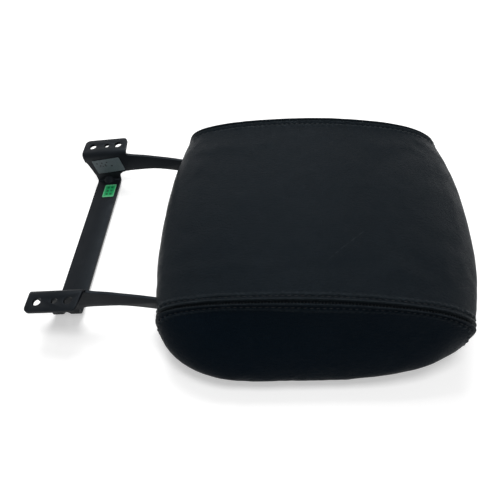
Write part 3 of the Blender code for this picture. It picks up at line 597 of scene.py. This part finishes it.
# Stitches: thick black polyester thread, in two even rows beside each seam, and the tight inner thread
# that shows as small teeth in the groove.
THREAD = 0.75 * MM
THREAD_LIFT = 0.25
STITCH_SHARE = 0.74
STITCH_BEND = 0.5
INNER_THREAD = 0.7 * MM
INNER_PITCH = 2.8 * MM
INNER_LENGTH = 2.3 * MM
INNER_THREAD_LIFT = 1.7 * MM


def make_thread():
    """Twisted black thread."""
    mat, tree, shader = new_material("black_thread", (0.010, 0.012, 0.014), 0.5)
    strands = node(tree, "TexWave", {"Vector": node(tree, "TexCoord").outputs["Object"], "Scale": 900.0,
                                     "Distortion": 1.0}).outputs["Fac"]
    tone = blended(tree, strands, (0.006, 0.0075, 0.009), (0.016, 0.019, 0.022))
    tree.links.new(tone, shader.inputs["Base Color"])
    tree.links.new(bump(tree, strands, 0.08 * MM, 0.5), shader.inputs["Normal"])
    shader.inputs["Specular IOR Level"].default_value = 0.2
    return mat


THREAD_MATERIAL = make_thread()


def stitch_shape(length, thickness):
    """One stitch as a plump bead along X: a sphere drawn out, with its ends bent down into the holes."""
    bpy.ops.object.select_all(action="DESELECT")
    bpy.ops.mesh.primitive_uv_sphere_add(segments=8, ring_count=7, radius=0.5, rotation=(0, math.pi / 2, 0))
    bead = bpy.context.object
    bead.scale = (thickness, thickness, length)
    bpy.ops.object.transform_apply(location=True, rotation=True, scale=True)
    shape = np.array([vert.co[:] for vert in bead.data.vertices])
    faces = [tuple(face.vertices) for face in bead.data.polygons]
    bpy.data.objects.remove(bead)
    shape[:, 2] -= (shape[:, 0] / (length / 2)) ** 4 * thickness * STITCH_BEND
    return shape, faces


def sew(name, path, out, pitch, length, thickness, side, across=False):
    """Copies one stitch along a closed path, each turned to the path, or across it, and to the surface."""
    shape, faces = stitch_shape(length, thickness)
    run = closed_run(path)
    count = round(run[-1] / pitch)
    verts, all_faces = [], []
    for n in range(count):
        place = (n + 0.5) * run[-1] / count
        i = min(np.searchsorted(run, place) - 1, len(path) - 1)
        j = (i + 1) % len(path)
        t = (place - run[i]) / (run[i + 1] - run[i])
        point = path[i] * (1 - t) + path[j] * t
        up = out[i] * (1 - t) + out[j] * t
        along = path[j] - path[i]
        along /= np.linalg.norm(along)
        up -= along * up.dot(along)
        up /= np.linalg.norm(up)
        beside = np.cross(up, along)
        if across:
            along, beside = beside, -along
        placed = point + shape[:, :1] * along + shape[:, 1:2] * beside + shape[:, 2:] * up
        if side < 0:
            placed = placed * MIRROR
        placed[:, 2] = np.maximum(placed[:, 2], 0.0)
        start = len(verts)
        verts += list(placed)
        all_faces += [tuple(start + k for k in face) for face in faces]
    mesh = bpy.data.meshes.new(name)
    mesh.from_pydata(verts, [], all_faces)
    row = bpy.data.objects.new(name, mesh)
    bpy.context.scene.collection.objects.link(row)
    only(row)
    bpy.ops.object.mode_set(mode="EDIT")
    bpy.ops.mesh.select_all(action="SELECT")
    bpy.ops.mesh.normals_make_consistent(inside=False)
    bpy.ops.object.mode_set(mode="OBJECT")
    mesh.shade_smooth()
    mesh.materials.append(THREAD_MATERIAL)
    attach(row, "pad")


stitch_row = int(np.argmin(np.abs(SEAM_STEPS - STITCH_LINE)))
for name, side in (("near", -1), ("far", 1)):
    for row_name, rows, out in (("top", half_rows, half_bare[1]), ("side", side_rows, side_bare[1])):
        path = rows[stitch_row] + out[stitch_row] * (THREAD * THREAD_LIFT)
        sew(f"{row_name}_stitches_{name}", path, out[stitch_row], STITCH_PITCH, STITCH_PITCH * STITCH_SHARE,
            THREAD, side)
    path = half_rows[0] + between * INNER_THREAD_LIFT
    sew(f"seam_thread_{name}", path, between, INNER_PITCH, INNER_LENGTH, INNER_THREAD, side, across=True)

# Hinge frame: 3 mm steel sheet, pressed and folded, with broken edges and a baked black coat that is
# rubbed a little greyer in patches.
MERGE_DISTANCE = 1e-5
FLAT_ANGLE = math.radians(0.8)
BEVEL_ANGLE = math.radians(40)
SMOOTH_ANGLE = math.radians(32)


def make_black_coat():
    """Baked black paint, clouded in tone and gloss."""
    mat, tree, shader = new_material("black_coat", (0.0050, 0.0060, 0.0080), 0.42)
    cloud = ramp(tree, noise(tree, 55.0, 4.0), 0.3, 0.7)
    tone = blended(tree, cloud, (0.0036, 0.0044, 0.0060), (0.0062, 0.0072, 0.0092))
    rubbed = ramp(tree, noise(tree, 24.0, 5.0), 0.60, 0.72)
    tone = blended(tree, math_node(tree, "MULTIPLY", rubbed, 0.2), tone, (0.030, 0.032, 0.035))
    tree.links.new(tone, shader.inputs["Base Color"])
    tree.links.new(ramp(tree, noise(tree, 90.0, 3.0), 0.3, 0.7, 0.36, 0.50), shader.inputs["Roughness"])
    shader.inputs["Specular IOR Level"].default_value = 0.085
    shader.inputs["Specular Tint"].default_value = (0.72, 0.88, 1.0, 1.0)
    tree.links.new(bump(tree, noise(tree, 900.0, 2.0), 0.03 * MM, 0.4), shader.inputs["Normal"])
    return mat


BLACK_COAT = make_black_coat()


def refined(name, piece_name, mat, body, edge=0.35 * MM, segments=2):
    """A copy of a CAD node with its triangles joined, its flat faces cleaned and its edges broken."""
    piece = nodes[name].copy()
    piece.data = nodes[name].data.copy()
    piece.parent = None
    piece.matrix_world = Matrix.Identity(4)
    piece.name = piece_name
    bpy.context.scene.collection.objects.link(piece)
    only(piece)
    bpy.ops.object.mode_set(mode="EDIT")
    bpy.ops.mesh.select_all(action="SELECT")
    bpy.ops.mesh.remove_doubles(threshold=MERGE_DISTANCE)
    bpy.ops.mesh.dissolve_limited(angle_limit=FLAT_ANGLE)
    bpy.ops.object.mode_set(mode="OBJECT")
    finished(piece, "BEVEL", width=edge, segments=segments, limit_method="ANGLE",
             angle_limit=BEVEL_ANGLE, use_clamp_overlap=True, harden_normals=False)
    only(piece)
    bpy.ops.object.shade_smooth_by_angle(angle=SMOOTH_ANGLE)
    piece.data.materials.clear()
    piece.data.materials.append(mat)
    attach(piece, body)
    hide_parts(name)
    return piece


refined("hinge_frame", "steel_frame", BLACK_COAT, "bracket")

# Inner parts: steel plates, rods, bolts, nylon bushes, the moulded core and the foam. They show only
# through the arm slots and keep the shape of the solids.
FINISH_ROWS = {
    "zinc_steel": ("zinc_plate", (0.55, 0.55, 0.53), 0.34, 1.0, 0.12, 160.0, 0.02 * MM),
    "drawn_steel": ("bright_drawn_bar", (0.36, 0.36, 0.37), 0.38, 1.0, 0.15, 220.0, 0.02 * MM),
    "bush_nylon": ("natural_nylon", (0.70, 0.68, 0.60), 0.5, 0.0, 0.05, 90.0, 0.02 * MM),
    "core_plastic": ("core_polypropylene", (0.020, 0.020, 0.021), 0.55, 0.0, 0.2, 120.0, 0.05 * MM),
    "foam": ("moulded_foam", (0.52, 0.47, 0.33), 0.92, 0.0, 0.15, 260.0, 0.3 * MM),
}


def plain_finish(name, colour, roughness, metallic, spread, scale, depth):
    """A finish with a clouded tone, an uneven gloss and a fine relief."""
    mat, tree, shader = new_material(name, colour, roughness, metallic)
    cloud = ramp(tree, noise(tree, scale, 4.0), 0.3, 0.7)
    darker = tuple(c * (1 - spread) for c in colour)
    lighter = tuple(min(c * (1 + spread), 1.0) for c in colour)
    tree.links.new(blended(tree, cloud, darker, lighter), shader.inputs["Base Color"])
    gloss = ramp(tree, cloud, 0.0, 1.0, roughness - 0.05, roughness + 0.07)
    tree.links.new(gloss, shader.inputs["Roughness"])
    tree.links.new(bump(tree, noise(tree, scale * 9, 2.0), depth, 0.6), shader.inputs["Normal"])
    return mat


FINISHES = {slot: plain_finish(*row) for slot, row in FINISH_ROWS.items()}
FINISHES["frame_paint"] = BLACK_COAT
slot_of = {row["node"]: row["material_slot"] for row in frame["record"]["subparts"]}
for name, obj in nodes.items():
    finish = FINISHES.get(slot_of[name])
    if finish and name != "hinge_frame":
        obj.data.materials.clear()
        obj.data.materials.append(finish)

# Foam: one moulded block of open-cell foam, pressed in a little by the tight cover. It shows only in the
# ends of the arm slots.
FOAM_PRESSED = 2.2 * MM
foam = refined("foam_pad", "moulded_foam", FINISHES["foam"], "pad", edge=0.4 * MM, segments=1)
finished(foam, "DISPLACE", direction="NORMAL", mid_level=0.0, strength=-FOAM_PRESSED)

# Base panel: black non-woven lining, pressed flat over the board, which closes the underside of the
# cover.
BASE_LINING = plain_finish("black_lining", (0.015, 0.015, 0.016), 0.85, 0.0, 0.35, 500.0, 0.25 * MM)
refined("cover_base_panel", "base_lining", BASE_LINING, "pad", edge=0.5 * MM)

# Labels: satin film stuck on the frame, a grey one on the far web and a green one with a pale border on
# the crossbar. They carry no lettering, only plain bars and blocks in a darker tone.
BORDER = 0.09
INK = 0.85
FILM_EDGE = 0.08 * MM
GREY_BARS = [(0.14 + 0.09 * i, 0.76 - 0.17 * (i % 2), 0.025, 0.055) for i in range(5)]
GREY_BARS += [(0.20 + 0.11 * i, 0.50, 0.030, 0.030) for i in range(3)] + [(0.62, 0.47, 0.035, 0.050)]
GREEN_BLOCKS = [(0.34 + 0.33 * i, 0.24 + 0.26 * k, 0.10, 0.075) for i in range(2) for k in range(3)]


def flat_uv(piece):
    """Gives a flat film a UV map over its own length (u) and height (v), from 0 to 1."""
    points = np.array([vert.co[:] for vert in piece.data.vertices])
    centred = points - points.mean(axis=0)
    axes = np.linalg.svd(centred, full_matrices=False)[2][:2]
    axes = sorted(axes, key=lambda axis: -abs(axis[0]))
    uv = []
    for axis in axes:
        run = centred @ (axis if axis[np.argmax(np.abs(axis))] > 0 else -axis)
        uv.append((run - run.min()) / (run.max() - run.min()))
    layer = piece.data.uv_layers.new(name="film")
    for loop in piece.data.loops:
        layer.data[loop.index].uv = (uv[0][loop.vertex_index], uv[1][loop.vertex_index])


def inside(tree, uv, middle, half):
    """1 inside a rectangle of the film, 0 outside."""
    within = [node(tree, "Math", {0: uv[k], 1: middle[k], 2: half[k]}, operation="COMPARE").outputs[0]
              for k in (0, 1)]
    return math_node(tree, "MULTIPLY", *within)


def printed(mat, marks, ink, border=None):
    """Adds plain rectangles, and a border, to a film's colour."""
    tree = mat.node_tree
    shader = tree.nodes["Principled BSDF"]
    uv = node(tree, "SeparateXYZ", {0: node(tree, "UVMap", uv_map="film").outputs[0]}).outputs
    masks = []
    for u, v, half_u, half_v in marks:
        masks.append(inside(tree, uv, (u, v), (half_u, half_v)))
    total = masks[0]
    for mask in masks[1:]:
        total = math_node(tree, "MAXIMUM", total, mask)
    plain = shader.inputs["Base Color"].links[0].from_socket
    tone = blended(tree, math_node(tree, "MULTIPLY", total, INK), plain, ink)
    if border:
        field = inside(tree, uv, (0.5, 0.5), (0.5 - BORDER, 0.5 - BORDER))
        tone = blended(tree, field, border, tone)
    tree.links.new(tone, shader.inputs["Base Color"])
    shader.inputs["Specular IOR Level"].default_value = 0.25


LABEL_GREY = plain_finish("grey_film", (0.088, 0.114, 0.125), 0.42, 0.0, 0.08, 300.0, 0.02 * MM)
LABEL_GREEN = plain_finish("green_film", (0.006, 0.290, 0.090), 0.42, 0.0, 0.10, 300.0, 0.02 * MM)
flat_uv(refined("web_label", "web_film", LABEL_GREY, "bracket", FILM_EDGE, segments=1))
flat_uv(refined("crossbar_label", "bar_film", LABEL_GREEN, "bracket", FILM_EDGE, segments=1))
printed(LABEL_GREY, GREY_BARS, (0.010, 0.012, 0.014))
printed(LABEL_GREEN, GREEN_BLOCKS, (0.004, 0.055, 0.020), border=(0.10, 0.42, 0.20))

# Stage: a pale floor that the camera sees as white, a large soft lamp above and behind, a smaller one
# overhead, and the camera that looks down on the armrest.
FLOOR_REACH = 6.0
FLOOR_DROP = 0.2 * MM
SEEN_WHITE = 0.45
DIFFUSE_WORLD = 0.20
bpy.ops.mesh.primitive_plane_add(size=FLOOR_REACH, location=(0, 0, -FLOOR_DROP))
floor = bpy.context.object
floor.name = "floor"


def seen_directly(tree):
    """1 for rays from the camera, off gloss and through glass; 0 for the light that falls on the object."""
    path = node(tree, "LightPath").outputs
    glossy = math_node(tree, "MAXIMUM", path["Is Glossy Ray"], path["Is Transmission Ray"])
    return math_node(tree, "MAXIMUM", path["Is Camera Ray"], glossy)


floor_mat, floor_tree, floor_shader = new_material("pale_floor", (0.80, 0.80, 0.80), 0.9)
floor_shader.inputs["Specular IOR Level"].default_value = 0.0
floor_shader.inputs["Emission Color"].default_value = (1.0, 1.0, 1.0, 1.0)
floor_tree.links.new(ramp(floor_tree, seen_directly(floor_tree), 0.0, 1.0, 0.0, SEEN_WHITE),
                     floor_shader.inputs["Emission Strength"])
floor.data.materials.append(floor_mat)

world = bpy.data.worlds.new("studio")
bpy.context.scene.world = world
world.use_nodes = True
world_tree = world.node_tree
background = world_tree.nodes["Background"]
background.inputs["Color"].default_value = (1.0, 1.0, 1.0, 1.0)
world_tree.links.new(ramp(world_tree, seen_directly(world_tree), 0.0, 1.0, DIFFUSE_WORLD, 1.0),
                     background.inputs["Strength"])


def area_lamp(name, location, size, power):
    """A square lamp turned towards the middle of the armrest."""
    data = bpy.data.lights.new(name, "AREA")
    data.shape = "SQUARE"
    data.size = size
    data.energy = power
    lamp = bpy.data.objects.new(name, data)
    lamp.location = location
    lamp.rotation_euler = (-Vector(location)).to_track_quat("-Z", "Y").to_euler()
    bpy.context.scene.collection.objects.link(lamp)


area_lamp("behind", (-0.20, 1.00, 1.55), 1.0, 23.0)
area_lamp("overhead", (0.10, -0.35, 1.9), 0.6, 15.0)

camera_data = bpy.data.cameras.new("camera")
camera_data.lens = 38.88
camera_data.sensor_width = 36.0
camera = bpy.data.objects.new("camera", camera_data)
camera.location = (0.0130, -0.3683, 0.4586)
camera.rotation_euler = (math.radians(38.76), 0.0, math.radians(3.34))
bpy.context.scene.collection.objects.link(camera)
bpy.context.scene.camera = camera
bpy.context.scene.view_settings.view_transform = "Standard"
